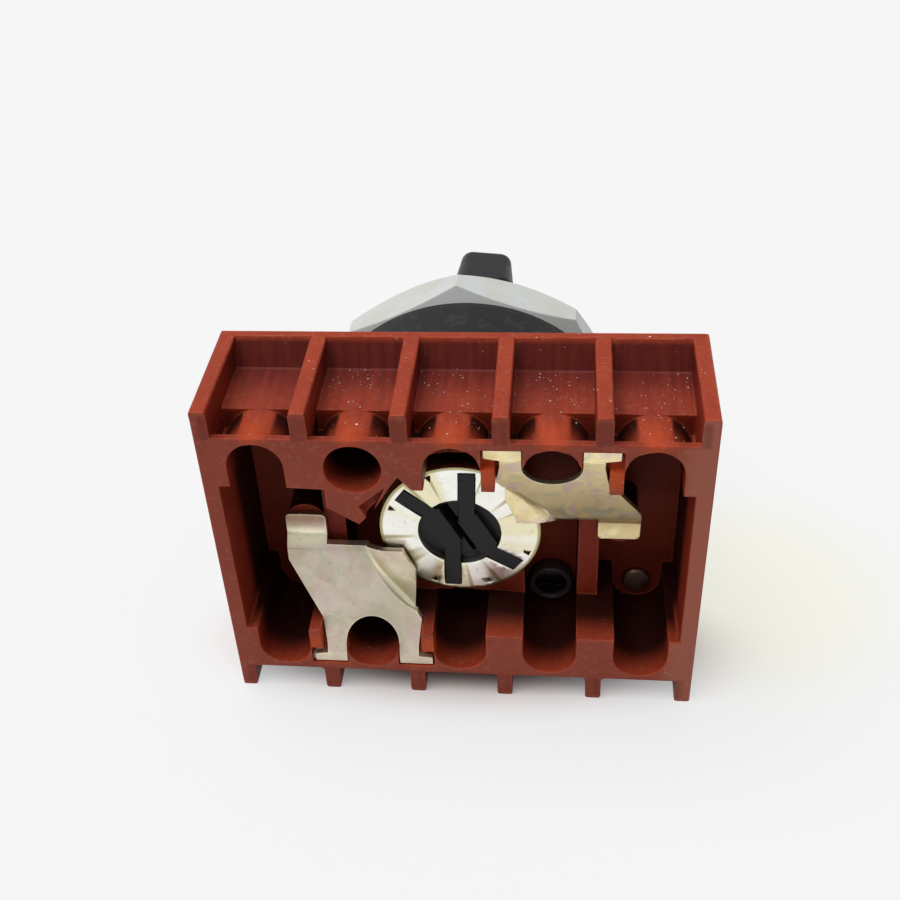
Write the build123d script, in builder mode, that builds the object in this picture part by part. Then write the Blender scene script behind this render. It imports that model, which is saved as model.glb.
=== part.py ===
from build123d import *
from math import atan2, cos, degrees, radians, sin
import os

os.makedirs("parts", exist_ok=True)

# Frame: X to the right, Y along the switch axis away from the open rear face, Z up from the rib feet.
# Depths are measured from the open face, and the origin is under the middle of the whole switch.

# Housing block
block_width = 60.0
block_depth = 17.4
rib_half_height = 23.1
rim_half_height = 19.35
rib_thickness = 2.0
rib_count = 6
cell_pitch = (block_width - rib_thickness) / (rib_count - 1)
cell_width = cell_pitch - rib_thickness
axis_height = rib_half_height
floor_thickness = 2.4
floor_level = block_depth - floor_thickness
overshoot = 1.0
edge_break = 0.2

# Wire cells above and below the block
cell_wall_foot = block_depth - 2.9
cell_wall_top = block_depth - 1.0
rim_lip = 0.9
pocket_depth = 6.0
pocket_drop = 3.0

# Channels that run along the axis through each wire cell
channel_radius = 3.4
channel_height = 15.1
channel_wall = 0.85
land_half_height = 12.1
post_level = 8.4
side_wall = 2.0
post_outer = 1.5 * cell_pitch + 0.3
rotor_bay_radius = 11.4

# Closed channel boss beside the rotor, with widths from the middle of its column
closed_column = -cell_pitch
boss_left = closed_column - 3.6
boss_shoulder = 9.1
boss_tip = (closed_column + 0.05, 6.6)
boss_right = (closed_column + 2.2, boss_shoulder)
boss_top = (closed_column + 5.2, 14.2)
land_tip = (closed_column + 6.9, land_half_height)
relief_points = ((0.3, 9.5), (3.6, 12.4), (2.2, boss_shoulder), (1.1, 7.8))
boss_relief_depth = 1.4

# Contact plates: bent brass sheet. The lower plate's widths start at the middle of its column
sheet = 0.8
foot_face = 0.3
foot_end = -18.1
foot_bend = -16.6
flat_end = -3.3
flat_end_face = 5.9
tab_bend = -1.6
tab_bend_face = 7.3
tab_end = 1.4
tab_face = 7.5
tab_left = -11.1
tab_right = -5.8
plate_top = -2.7
plate_notch_radius = 3.5
bend_radius = 1.0
tab_corner = 0.7
leg_offset = 5.0
leg_recess_width = 3.2
leg_recess_face = 3.3
leg_recess_lead = 0.25
recess_start = -15.4
recess_end = -18.3
plate_points = (
    (tab_left, tab_end),
    (tab_right, tab_end),
    (tab_right, plate_top),
    (2.6, plate_top),
    (6.0, -9.0),
    (6.0, -10.9),
    (6.6, -11.8),
    (6.1, -15.4),
    (6.1, foot_bend - 0.1),
    (7.9, foot_bend - 0.3),
    (7.9, foot_end),
    (-7.8, foot_end),
    (-7.8, foot_bend - 0.3),
    (-6.1, foot_bend - 0.1),
    (-6.1, -15.4),
    (-6.6, -11.9),
    (-10.9, -4.6),
    (tab_left, plate_top),
)
tab_boss_radius = 2.5
tab_boss_centre = (closed_column - 8.5, 0.0)

# Wiper, the formed flap of each plate that lies on the rotor
wiper_outer_radius = 12.2
wiper_inner_radius = 6.0
wiper_gap = 0.15
wiper_first_angle = 192.0
wiper_last_angle = 244.0
wiper_sections = 5
wiper_riser = 2.0
wiper_weld = 0.25
wiper_dip = 0.1
wiper_outline = (
    (-13.6, plate_top),
    (-7.4, plate_top),
    (-5.9, -6.4),
    (-5.9, -11.6),
    (-13.6, -11.6),
)

# Rotor
cup_radius = 10.3
cup_hole_radius = 5.3
cup_face = 6.35
cup_sheet = 0.7
cup_depth = 4.4
facet_count = 8
facet_turn = 23.0
facet_fall = 0.45
notch_size = 1.0
notch_half_angle = 2.6
arm_width = 2.0
arm_waist_width = 2.8
arm_path = ((-7.4, 5.75), (-3.8, 3.1), (-0.95, -2.3), (-1.15, -9.4))
arm_drop = 0.2
arm_side_gap = 0.1
hub_gap = 0.1
hub_radius = 5.1
carrier_thickness = 3.0
carrier_radius = 9.45
tongue_slot_width = 1.0
tongue_slot_length = 8.4
tongue_slot_floor = 0.4
journal_radius = 4.5
journal_clearance = 0.05
journal_setback = 0.2

# Collars, pins and screws on the floor of the block
collar_outer_radius = 3.0
collar_inner_radius = 2.15
collar_height = 2.1
collar_chamfer = 0.25
pin_head_radius = 1.9
pin_head_height = 0.8
pin_radius = 1.2
screw_radius = 1.25
screw_head_radius = 2.0
screw_head_height = 1.6
screw_slot = 0.6
screw_slot_depth = 0.8
screw_length = 10.0
screw_hole_clearance = 0.1

# Operator, turned a little on the block
operator_turn = 5.0
flange_radius = 21.2
flange_thickness = 9.5
gasket_thickness = 1.2
gasket_radius = 20.8
bush_radius = 14.9
bush_free_length = 2.1
bush_chamfer = 0.8
keyway_width = 2.4
keyway_depth = 0.9
chamber_radius = 12.0
chamber_depth = 7.1
bearing_plate_radius = 13.5
plate_thickness = 1.4
fit_gap = 0.05
thread_gap = 0.1

# Ring nut
nut_corner_radius = 21.8
nut_turn = 4.0
nut_thickness = 8.2
nut_near_chamfer = 2.7
nut_far_chamfer = 1.6
nut_chamfer_run = 4.2
nut_sides = 8
bore_chamfer = 0.6

# Shaft and what rides on it
shaft_radius = 4.0
square_side = 5.0
shaft_reach = 0.7
shaft_in_knob = 7.0
shaft_flat = 3.4
wheel_radius = 9.2
wheel_hub_radius = 5.8
wheel_gap = 0.2
wheel_washer_gap = 0.1
wheel_notches = 8
wheel_notch_radius = 1.5
wheel_notch_centre = 9.7
washer_radius = 7.4
washer_thickness = 0.6
seal_outer_radius = 5.5
seal_width = 1.6
seal_setback = 5.2
clip_outer_radius = 6.2
clip_thickness = 0.7
clip_opening = 5.2
clip_gap = 0.1
groove_radius = 3.2
stop_half_angle = 8.0
stop_width_angle = 12.0
stop_reach = 11.4
stop_inner_radius = 9.8
stop_gap_angle = 0.5
turn_limit = 45.0

# Detent springs
spring_sheet = 0.45
spring_width = 3.6
spring_line = 10.7
spring_half_length = 7.2
spring_nose = 8.6
spring_nose_half = 2.2
spring_bend = 0.6
spring_pocket = 3.0
spring_end_gap = 0.1

# Knob
skirt_radius = 14.2
skirt_gap = 0.4
skirt_height = 4.2
knob_height = 12.8
lever_half_width = 3.6
lever_taper = -5.0
lever_reach = 15.0
lever_tail = 12.0
lever_corner = 1.6
lever_edge = 0.8
inlay_width = 1.6
inlay_length = 11.0
inlay_depth = 0.6
inlay_start = 2.6
grub_radius = 1.5
grub_length = 5.0
grub_setback = 2.4
grub_socket_radius = 0.85
grub_socket_depth = 1.6

# Depths that follow from the sizes, from the open face to the lever's face
wiper_face = cup_face - wiper_gap - sheet
arm_face = cup_face + arm_drop
cup_back = cup_face + facet_fall + cup_sheet
carrier_end = cup_back + carrier_thickness
shaft_start = carrier_end - shaft_reach
tongue_slot_end = shaft_start - tongue_slot_floor
hub_end = floor_level - hub_gap
journal_end = block_depth - journal_setback
flange_end = block_depth + flange_thickness
gasket_end = flange_end + gasket_thickness
nut_end = gasket_end + nut_thickness
bush_end = nut_end + bush_free_length
chamber_end = block_depth + chamber_depth
wheel_hub_start = block_depth + wheel_gap
wheel_start = block_depth + plate_thickness + wheel_gap
wheel_end = chamber_end - washer_thickness - wheel_washer_gap
spring_start = (wheel_start + wheel_end - spring_width) / 2
seal_start = bush_end - seal_setback
clip_start = bush_end + clip_gap
skirt_start = clip_start + clip_thickness + skirt_gap
skirt_end = skirt_start + skirt_height
shaft_end = skirt_start + shaft_in_knob
grub_place = skirt_start + grub_setback
lever_face = skirt_start + knob_height
open_face = -lever_face / 2
switch_axis = Axis((0, 0, axis_height), (0, 1, 0))


def face(y, turn=0.0):
    """Plane across the switch axis at depth y, seen from the open side and turned clockwise."""
    side = (cos(radians(turn)), 0, -sin(radians(turn)))
    return Plane(origin=(0, open_face + y, axis_height), x_dir=side, z_dir=(0, -1, 0))


def side_plane(x):
    """Plane along the axis at width x, with depth as its first and Z as its second direction."""
    return Plane(origin=(x, open_face, axis_height), x_dir=(0, 1, 0), z_dir=(1, 0, 0))


def radial_plane(angle):
    """Plane that holds the switch axis, with its first direction at this angle from +X."""
    out = (cos(radians(angle)), 0, sin(radians(angle)))
    across = (-sin(radians(angle)), 0, cos(radians(angle)))
    return Plane(origin=(0, open_face, axis_height), x_dir=out, z_dir=across)


def polar(radius, angle):
    """Point at this radius and angle from the first direction of a plane."""
    return radius * cos(radians(angle)), radius * sin(radians(angle))


def flat_face_at(height):
    """Depth of the plate's tilted front face at this height from the axis."""
    rise = (flat_end_face - foot_face) / (flat_end - foot_bend)
    return foot_face + rise * (height - foot_bend)


stop_angles = [
    90 + turn_limit + stop_half_angle + stop_gap_angle,
    90 - turn_limit - stop_half_angle - stop_gap_angle - stop_width_angle,
]
lever_down = (-sin(radians(operator_turn)), 0, -cos(radians(operator_turn)))
grub_plane = Plane(
    origin=(0, open_face + grub_place, axis_height), x_dir=(0, 1, 0), z_dir=lever_down
).offset(shaft_flat)
columns = [cell_pitch * (i - (rib_count - 2) / 2) for i in range(rib_count - 1)]
collar_places = [(columns[3], -channel_height), (columns[1], channel_height)]
pin_places = [(columns[4], -channel_height), (columns[0], channel_height)]

# Contact housing, one thermoset moulding
with BuildPart() as contact_housing:
    with Locations((0, open_face + block_depth / 2, axis_height)):
        Box(block_width, block_depth, 2 * rib_half_height)
    for column in columns:
        for side in (1, -1):
            with BuildSketch(side_plane(column)) as cell:
                with BuildLine():
                    Polyline(
                        (-overshoot, side * rim_half_height),
                        (cell_wall_foot, side * rim_half_height),
                        (cell_wall_top, side * rib_half_height),
                        (cell_wall_top, side * (rib_half_height + overshoot)),
                        (-overshoot, side * (rib_half_height + overshoot)),
                        close=True,
                    )
                make_face()
            extrude(amount=cell_width / 2, both=True, mode=Mode.SUBTRACT)
            with BuildSketch(face(pocket_depth)) as pocket:
                with Locations((column, side * rim_half_height)):
                    Rectangle(cell_width, 2 * pocket_drop)
                with Locations((column, side * channel_height)):
                    Circle(channel_radius + channel_wall, mode=Mode.SUBTRACT)
            extrude(amount=pocket_depth - rim_lip, mode=Mode.SUBTRACT)
    with BuildSketch(face(0)) as bay:
        Rectangle(block_width - 2 * side_wall, 2 * land_half_height)
        with BuildLine():
            Polyline(
                (boss_left, rim_half_height),
                (boss_left, boss_shoulder),
                boss_tip,
                boss_right,
                boss_top,
                land_tip,
                (columns[2] - channel_radius, land_half_height),
                (columns[2] - channel_radius, rim_half_height),
                close=True,
            )
        make_face(mode=Mode.SUBTRACT)
    extrude(amount=-post_level, mode=Mode.SUBTRACT)
    with BuildSketch(face(0)) as gap_beside_boss:
        with BuildLine():
            Polyline(boss_right, boss_top, land_tip, close=True)
        make_face()
    extrude(amount=-floor_level, mode=Mode.SUBTRACT)
    with BuildSketch(face(0)) as wells:
        for column in columns:
            for side in (1, -1):
                with Locations((column, side * channel_height)):
                    Circle(channel_radius)
                if (column, side) != (closed_column, 1):
                    with Locations((column, side * (channel_height + land_half_height) / 2)):
                        Rectangle(2 * channel_radius, channel_height - land_half_height)
    extrude(amount=-floor_level, mode=Mode.SUBTRACT)
    with BuildSketch(face(0)) as deep_bay:
        Circle(rotor_bay_radius)
        outer_bay = block_width / 2 - side_wall - post_outer
        for side in (1, -1):
            with Locations((side * (post_outer + outer_bay / 2), 0)):
                Rectangle(outer_bay, 2 * land_half_height)
            with Locations((side * columns[3], 0)):
                Rectangle(2 * channel_radius, 2 * land_half_height)
        with BuildLine():
            Polyline(
                (boss_left, rim_half_height),
                (boss_left, boss_shoulder),
                boss_tip,
                boss_right,
                boss_top,
                (columns[2], rim_half_height),
                close=True,
            )
        make_face(mode=Mode.SUBTRACT)
    extrude(amount=-floor_level, mode=Mode.SUBTRACT)
    with BuildSketch(face(0)) as relief:
        with BuildLine():
            Polyline([(closed_column + x, height) for x, height in relief_points], close=True)
        make_face()
    extrude(amount=-boss_relief_depth, mode=Mode.SUBTRACT)
    # Recesses for the legs and feet of the two plates, and the bosses under their tabs
    for turn, way in ((0, 1), (180, -1)):
        for leg in (-leg_offset, leg_offset):
            with BuildSketch(side_plane(way * (closed_column + leg))) as leg_recess:
                with BuildLine():
                    Polyline(
                        (-overshoot, way * recess_end),
                        (foot_face + sheet, way * recess_end),
                        (foot_face + sheet, way * (foot_bend - leg_recess_lead)),
                        (leg_recess_face, way * -land_half_height),
                        (-overshoot, way * -land_half_height),
                        close=True,
                    )
                make_face()
            extrude(amount=leg_recess_width / 2, both=True, mode=Mode.SUBTRACT)
        with BuildSketch(face(0, turn)) as foot_recess:
            for land in (closed_column - cell_pitch / 2, closed_column + cell_pitch / 2):
                with Locations((land, (recess_end + recess_start) / 2)):
                    Rectangle(cell_pitch - 2 * channel_radius, recess_start - recess_end)
        extrude(amount=-(foot_face + sheet), mode=Mode.SUBTRACT)
        with BuildSketch(face(floor_level + overshoot / 2, turn)) as tab_boss:
            with Locations(tab_boss_centre):
                Circle(tab_boss_radius)
        extrude(amount=floor_level + overshoot / 2 - tab_face - sheet)
    with BuildSketch(face(floor_level)) as floor_holes:
        Circle(journal_radius + journal_clearance)
        with Locations(*collar_places):
            Circle(screw_radius + screw_hole_clearance)
        with Locations(*pin_places):
            Circle(pin_radius)
    extrude(amount=-floor_thickness, mode=Mode.SUBTRACT)
    for rib_tips in (0, -1):
        tip_edges = contact_housing.edges().group_by(Axis.Z)[rib_tips]
        chamfer(tip_edges.filter_by(Axis.Y), length=edge_break)
contact_housing.part.label = "contact_housing"

# Wiper flap, lofted through sections that hold the axis, since its foot follows the tilted plate
with BuildPart() as wiper:
    for i in range(wiper_sections):
        angle = wiper_first_angle + (wiper_last_angle - wiper_first_angle) * i / (wiper_sections - 1)
        top = flat_face_at(wiper_outer_radius * sin(radians(angle)))
        half_way = (top + wiper_face) / 2
        with BuildSketch(radial_plane(angle)) as section:
            with BuildLine():
                Polyline(
                    (wiper_outer_radius + wiper_weld, top),
                    (wiper_outer_radius - wiper_riser / 3, half_way),
                    (wiper_outer_radius - wiper_riser, wiper_face),
                    (wiper_inner_radius, wiper_face + wiper_dip),
                    (wiper_inner_radius, wiper_face + sheet),
                    (wiper_outer_radius - wiper_riser, wiper_face + sheet),
                    (wiper_outer_radius - wiper_riser / 3 - wiper_weld, half_way + sheet),
                    (wiper_outer_radius + wiper_weld, top + sheet),
                    close=True,
                )
            make_face()
    loft()
    with BuildSketch(face(0)) as flap_outline:
        with BuildLine():
            Polyline(*wiper_outline, close=True)
        make_face()
    extrude(amount=-block_depth, mode=Mode.INTERSECT)

# Contact plate, bent from flat sheet, with its outline cut through the bends
with BuildPart() as contact_plate_lower:
    with BuildSketch(side_plane(closed_column)) as bent_sheet:
        with BuildLine():
            FilletPolyline(
                (foot_face, foot_end),
                (foot_face, foot_bend),
                (flat_end_face, flat_end),
                (tab_bend_face, tab_bend),
                (tab_face, tab_end),
                radius=bend_radius,
            )
            offset(amount=sheet, side=Side.RIGHT)
        make_face()
    extrude(amount=block_width / 4, both=True)
    with BuildSketch(face(0)) as plate_outline:
        with BuildLine():
            Polyline([(closed_column + x, height) for x, height in plate_points], close=True)
        make_face()
        Circle(wiper_outer_radius, mode=Mode.SUBTRACT)
        with Locations((closed_column, -channel_height)):
            Circle(plate_notch_radius, mode=Mode.SUBTRACT)
        with Locations((closed_column, (foot_end - overshoot - channel_height) / 2)):
            Rectangle(
                2 * plate_notch_radius, channel_height + foot_end - overshoot, mode=Mode.SUBTRACT
            )
        fillet(plate_outline.vertices().group_by(Axis.Y)[-1], radius=tab_corner)
    extrude(amount=-block_depth, mode=Mode.INTERSECT)
    add(wiper.part)
contact_plate_lower.part.label = "contact_plate_lower"

with BuildPart() as contact_plate_upper:
    add(contact_plate_lower.part.rotate(switch_axis, 180))
contact_plate_upper.part.label = "contact_plate_upper"

# Rotor cup, pressed brass with planar facets, slotted for the arms of the rotor
with BuildPart() as rotor_cup:
    with BuildSketch(face(cup_face + facet_fall)) as facet_foot:
        RegularPolygon(cup_radius, facet_count, major_radius=False, rotation=facet_turn)
    with BuildSketch(face(cup_face)) as facet_top:
        RegularPolygon(cup_hole_radius, facet_count, major_radius=False, rotation=facet_turn)
    loft()
    with BuildSketch(face(0)) as cup_outline:
        Circle(cup_radius)
    extrude(amount=-block_depth, mode=Mode.INTERSECT)
    with BuildSketch(face(cup_face + facet_fall)) as cup_wall:
        Circle(cup_radius)
    extrude(amount=-(cup_depth - facet_fall))
    with BuildSketch(face(cup_back)) as cup_inside:
        Circle(cup_radius - cup_sheet)
    extrude(amount=-cup_depth, mode=Mode.SUBTRACT)
    with BuildSketch(face(0)) as cup_cuts:
        Circle(cup_hole_radius)
        for turn in (0, 180):
            with BuildLine(Plane.XY.rotated((0, 0, turn))):
                Polyline(*arm_path)
            trace(line_width=arm_width + 2 * arm_side_gap)
        for i in range(facet_count):
            angle = facet_turn + 360 * i / facet_count
            with BuildLine():
                Polyline(
                    polar(cup_radius - cup_sheet - notch_size, angle),
                    polar(cup_radius - cup_sheet, angle - notch_half_angle),
                    polar(cup_radius - cup_sheet, angle + notch_half_angle),
                    close=True,
                )
            make_face()
    extrude(amount=-cup_back, mode=Mode.SUBTRACT)
rotor_cup.part.label = "rotor_cup"

# Rotor body, the insulating carrier with two bent bars that show through the cup
with BuildPart() as rotor_body:
    with BuildSketch(face(cup_back)) as carrier:
        Circle(carrier_radius)
    extrude(amount=-(carrier_end - cup_back))
    with BuildSketch(face(carrier_end)) as hub:
        Circle(hub_radius)
    extrude(amount=-(hub_end - carrier_end))
    with BuildSketch(face(hub_end)) as journal:
        Circle(journal_radius)
    extrude(amount=-(journal_end - hub_end))
    with BuildSketch(face(cup_back)) as bars:
        for turn in (0, 180):
            with BuildLine(Plane.XY.rotated((0, 0, turn))):
                Polyline(*arm_path)
            trace(line_width=arm_width)
    extrude(amount=cup_back - arm_face)
    with BuildSketch(face(cup_back)) as waists:
        for turn in (0, 180):
            with BuildLine(Plane.XY.rotated((0, 0, turn))):
                Line(arm_path[1], arm_path[2])
            trace(line_width=arm_waist_width)
        Circle(hub_radius, mode=Mode.INTERSECT)
    extrude(amount=cup_back - arm_face)
    with BuildSketch(face(journal_end)) as socket:
        Rectangle(square_side + 2 * fit_gap, square_side + 2 * fit_gap, rotation=-operator_turn)
    extrude(amount=journal_end - shaft_start, mode=Mode.SUBTRACT)
    with BuildSketch(face(arm_face)) as tongue_slot:
        slot_angle = atan2(arm_path[2][1] - arm_path[1][1], arm_path[2][0] - arm_path[1][0])
        Rectangle(tongue_slot_length, tongue_slot_width, rotation=degrees(slot_angle))
    extrude(amount=-(tongue_slot_end - arm_face), mode=Mode.SUBTRACT)
rotor_body.part.label = "rotor_body"

# Insulating collars that stand on the floor around the fixing screws
collars = []
for name, place in zip(("collar_lower", "collar_upper"), collar_places):
    with BuildPart() as collar:
        with BuildSketch(face(floor_level)) as ring:
            with Locations(place):
                Circle(collar_outer_radius)
                Circle(collar_inner_radius, mode=Mode.SUBTRACT)
        extrude(amount=collar_height)
        chamfer(collar.edges().group_by(Axis.Y)[0], length=collar_chamfer)
    collar.part.label = name
    collars.append(collar.part)

with BuildPart() as location_pins:
    with BuildSketch(face(floor_level)) as pin_heads:
        with Locations(*pin_places):
            Circle(pin_head_radius)
    extrude(amount=pin_head_height)
    chamfer(location_pins.edges().group_by(Axis.Y)[0], length=collar_chamfer)
    with BuildSketch(face(floor_level)) as pin_shanks:
        with Locations(*pin_places):
            Circle(pin_radius)
    extrude(amount=-floor_thickness)
location_pins.part.label = "location_pins"

with BuildPart() as fixing_screws:
    with BuildSketch(face(floor_level)) as screw_heads:
        with Locations(*collar_places):
            Circle(screw_head_radius)
    extrude(amount=screw_head_height)
    with BuildSketch(face(floor_level)) as screw_shanks:
        with Locations(*collar_places):
            Circle(screw_radius)
    extrude(amount=-screw_length)
    with BuildSketch(face(floor_level - screw_head_height)) as screw_slots:
        with Locations(*collar_places):
            Rectangle(2 * screw_head_radius + overshoot, screw_slot)
    extrude(amount=-screw_slot_depth, mode=Mode.SUBTRACT)
fixing_screws.part.label = "fixing_screws"

# Operator body: flange against the block, and the bush that passes through the panel
with BuildPart() as operator_body:
    with BuildSketch(face(block_depth)) as flange:
        Circle(flange_radius)
    extrude(amount=-(flange_end - block_depth))
    with BuildSketch(face(flange_end)) as bush:
        Circle(bush_radius)
    extrude(amount=-(bush_end - flange_end))
    chamfer(operator_body.edges().group_by(Axis.Y)[-1], length=bush_chamfer)
    with BuildSketch(face(block_depth, operator_turn)) as chamber:
        Circle(chamber_radius)
        for first in stop_angles:
            with BuildLine():
                Polyline(
                    polar(stop_inner_radius, first),
                    polar(chamber_radius + overshoot, first),
                    polar(chamber_radius + overshoot, first + stop_width_angle),
                    polar(stop_inner_radius, first + stop_width_angle),
                    close=True,
                )
            make_face(mode=Mode.SUBTRACT)
        for side in (1, -1):
            with Locations((side * (spring_line + spring_sheet / 2 - spring_pocket / 2), 0)):
                Rectangle(spring_pocket, 2 * (spring_half_length + spring_end_gap))
    extrude(amount=-(chamber_end - block_depth), mode=Mode.SUBTRACT)
    with BuildSketch(face(block_depth)) as plate_seat:
        Circle(bearing_plate_radius + fit_gap)
    extrude(amount=-plate_thickness, mode=Mode.SUBTRACT)
    with BuildSketch(face(chamber_end)) as shaft_bore:
        Circle(shaft_radius + fit_gap)
    extrude(amount=-(bush_end - chamber_end), mode=Mode.SUBTRACT)
    with BuildSketch(face(seal_start)) as seal_groove:
        Circle(seal_outer_radius)
    extrude(amount=-seal_width, mode=Mode.SUBTRACT)
    with BuildSketch(face(flange_end, operator_turn)) as keyway:
        with Locations((0, bush_radius)):
            Rectangle(keyway_width, 2 * keyway_depth)
    extrude(amount=-(bush_end - flange_end), mode=Mode.SUBTRACT)
    with BuildSketch(face(block_depth)) as screw_holes:
        with Locations(*collar_places):
            Circle(screw_radius + fit_gap)
    extrude(amount=-(screw_length - floor_thickness + overshoot / 2), mode=Mode.SUBTRACT)
operator_body.part.label = "operator_body"

with BuildPart() as bearing_plate:
    with BuildSketch(face(block_depth)) as plate_disc:
        Circle(bearing_plate_radius)
        Circle(wheel_hub_radius + fit_gap, mode=Mode.SUBTRACT)
    extrude(amount=-plate_thickness)
bearing_plate.part.label = "bearing_plate"

with BuildPart() as panel_gasket:
    with BuildSketch(face(flange_end)) as gasket_ring:
        Circle(gasket_radius)
        Circle(bush_radius + fit_gap, mode=Mode.SUBTRACT)
    extrude(amount=-gasket_thickness)
panel_gasket.part.label = "panel_gasket"

with BuildPart() as shaft_seal:
    with BuildSketch(face(seal_start)) as seal_ring:
        Circle(seal_outer_radius)
        Circle(shaft_radius + fit_gap, mode=Mode.SUBTRACT)
    extrude(amount=-seal_width)
shaft_seal.part.label = "shaft_seal"

with BuildPart() as thrust_washer:
    with BuildSketch(face(chamber_end - washer_thickness)) as washer_ring:
        Circle(washer_radius)
        Circle(shaft_radius + fit_gap, mode=Mode.SUBTRACT)
    extrude(amount=-washer_thickness)
thrust_washer.part.label = "thrust_washer"

# Octagonal ring nut, with both faces turned to a cone that cuts its corners
with BuildPart() as ring_nut:
    with BuildSketch(face(gasket_end)) as nut_outline:
        RegularPolygon(nut_corner_radius, nut_sides, rotation=nut_turn)
    extrude(amount=-nut_thickness)
    with BuildSketch(side_plane(0)) as nut_turning:
        with BuildLine():
            Polyline(
                (gasket_end, 0),
                (gasket_end, nut_corner_radius - nut_chamfer_run),
                (gasket_end + nut_near_chamfer, nut_corner_radius),
                (nut_end - nut_far_chamfer, nut_corner_radius),
                (nut_end, nut_corner_radius - nut_chamfer_run),
                (nut_end, 0),
                close=True,
            )
        make_face()
    revolve(axis=switch_axis, mode=Mode.INTERSECT)
    with BuildSketch(face(gasket_end)) as nut_bore:
        Circle(bush_radius + thread_gap)
    extrude(amount=-nut_thickness, mode=Mode.SUBTRACT)
    chamfer(ring_nut.edges().filter_by(GeomType.CIRCLE).sort_by(SortBy.RADIUS)[0:2], length=bore_chamfer)
ring_nut.part.label = "ring_nut"

# Drive shaft: square through the wheel and the rotor, round through the bush and into the knob
with BuildPart() as drive_shaft:
    with BuildSketch(face(shaft_start, operator_turn)) as square_end:
        Rectangle(square_side, square_side)
    extrude(amount=-(wheel_end - shaft_start))
    with BuildSketch(face(wheel_end)) as round_end:
        Circle(shaft_radius)
    extrude(amount=-(shaft_end - wheel_end))
    with BuildSketch(face(clip_start)) as clip_groove:
        Circle(shaft_radius + overshoot)
        Circle(groove_radius, mode=Mode.SUBTRACT)
    extrude(amount=-clip_thickness, mode=Mode.SUBTRACT)
    with BuildSketch(face(skirt_start, operator_turn)) as grub_flat:
        with Locations((0, -shaft_flat - overshoot)):
            Rectangle(2 * shaft_radius, 2 * overshoot)
    extrude(amount=-(shaft_end - skirt_start), mode=Mode.SUBTRACT)
drive_shaft.part.label = "drive_shaft"

with BuildPart() as retaining_clip:
    with BuildSketch(face(clip_start, operator_turn)) as clip_shape:
        Circle(clip_outer_radius)
        Circle(groove_radius, mode=Mode.SUBTRACT)
        with Locations((0, -clip_outer_radius)):
            Rectangle(clip_opening, 2 * clip_outer_radius, mode=Mode.SUBTRACT)
    extrude(amount=-clip_thickness)
retaining_clip.part.label = "retaining_clip"

# Detent wheel: notches for the spring noses, and one lug that meets the stops of the chamber
with BuildPart() as detent_wheel:
    with BuildSketch(face(wheel_start, operator_turn)) as wheel_disc:
        Circle(wheel_radius)
        with PolarLocations(wheel_notch_centre, wheel_notches):
            Circle(wheel_notch_radius, mode=Mode.SUBTRACT)
        with BuildLine():
            Polyline(
                polar(wheel_hub_radius, 90 - stop_half_angle),
                polar(stop_reach, 90 - stop_half_angle),
                polar(stop_reach, 90 + stop_half_angle),
                polar(wheel_hub_radius, 90 + stop_half_angle),
                close=True,
            )
        make_face()
    extrude(amount=-(wheel_end - wheel_start))
    with BuildSketch(face(wheel_hub_start)) as wheel_hub:
        Circle(wheel_hub_radius)
    extrude(amount=-(wheel_end - wheel_hub_start))
    with BuildSketch(face(wheel_hub_start, operator_turn)) as wheel_socket:
        Rectangle(square_side + 2 * fit_gap, square_side + 2 * fit_gap)
    extrude(amount=-(wheel_end - wheel_hub_start), mode=Mode.SUBTRACT)
detent_wheel.part.label = "detent_wheel"

# Detent springs, bent strip with a nose that sits in a notch of the wheel
detent_springs = []
for name, side in (("detent_spring_left", -1), ("detent_spring_right", 1)):
    with BuildPart() as detent_spring:
        with BuildSketch(face(spring_start, operator_turn)) as spring_strip:
            with BuildLine():
                FilletPolyline(
                    (side * spring_line, -spring_half_length),
                    (side * spring_line, -spring_nose_half),
                    (side * (spring_nose + spring_sheet / 2), 0),
                    (side * spring_line, spring_nose_half),
                    (side * spring_line, spring_half_length),
                    radius=spring_bend,
                )
            trace(line_width=spring_sheet)
        extrude(amount=-spring_width)
    detent_spring.part.label = name
    detent_springs.append(detent_spring.part)

# Selector knob: round skirt and a lever that widens towards it
with BuildPart() as selector_knob:
    with BuildSketch(face(lever_face, operator_turn)) as lever:
        with Locations((0, (lever_reach - lever_tail) / 2)):
            Rectangle(2 * lever_half_width, lever_reach + lever_tail)
        fillet(lever.vertices(), radius=lever_corner)
    extrude(amount=lever_face - skirt_end + overshoot / 2, taper=lever_taper)
    chamfer(selector_knob.faces().sort_by(Axis.Y)[-1].edges(), length=lever_edge)
    with BuildSketch(face(skirt_start)) as skirt:
        Circle(skirt_radius)
    extrude(amount=-skirt_height)
    with BuildSketch(face(skirt_start, operator_turn)) as knob_bore:
        Circle(shaft_radius + fit_gap)
        with Locations((0, -shaft_flat - overshoot)):
            Rectangle(2 * shaft_radius, 2 * overshoot, mode=Mode.SUBTRACT)
    extrude(amount=-(shaft_end - skirt_start + clip_gap), mode=Mode.SUBTRACT)
    with BuildSketch(face(lever_face, operator_turn)) as inlay_slot:
        with Locations((0, inlay_start + inlay_length / 2)):
            Rectangle(inlay_width, inlay_length)
    extrude(amount=inlay_depth, mode=Mode.SUBTRACT)
    with BuildSketch(grub_plane) as grub_hole:
        Circle(grub_radius)
    extrude(amount=skirt_radius + overshoot - shaft_flat, mode=Mode.SUBTRACT)
selector_knob.part.label = "selector_knob"

with BuildPart() as pointer_inlay:
    with BuildSketch(face(lever_face, operator_turn)) as inlay:
        with Locations((0, inlay_start + inlay_length / 2)):
            Rectangle(inlay_width, inlay_length)
    extrude(amount=inlay_depth)
pointer_inlay.part.label = "pointer_inlay"

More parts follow.
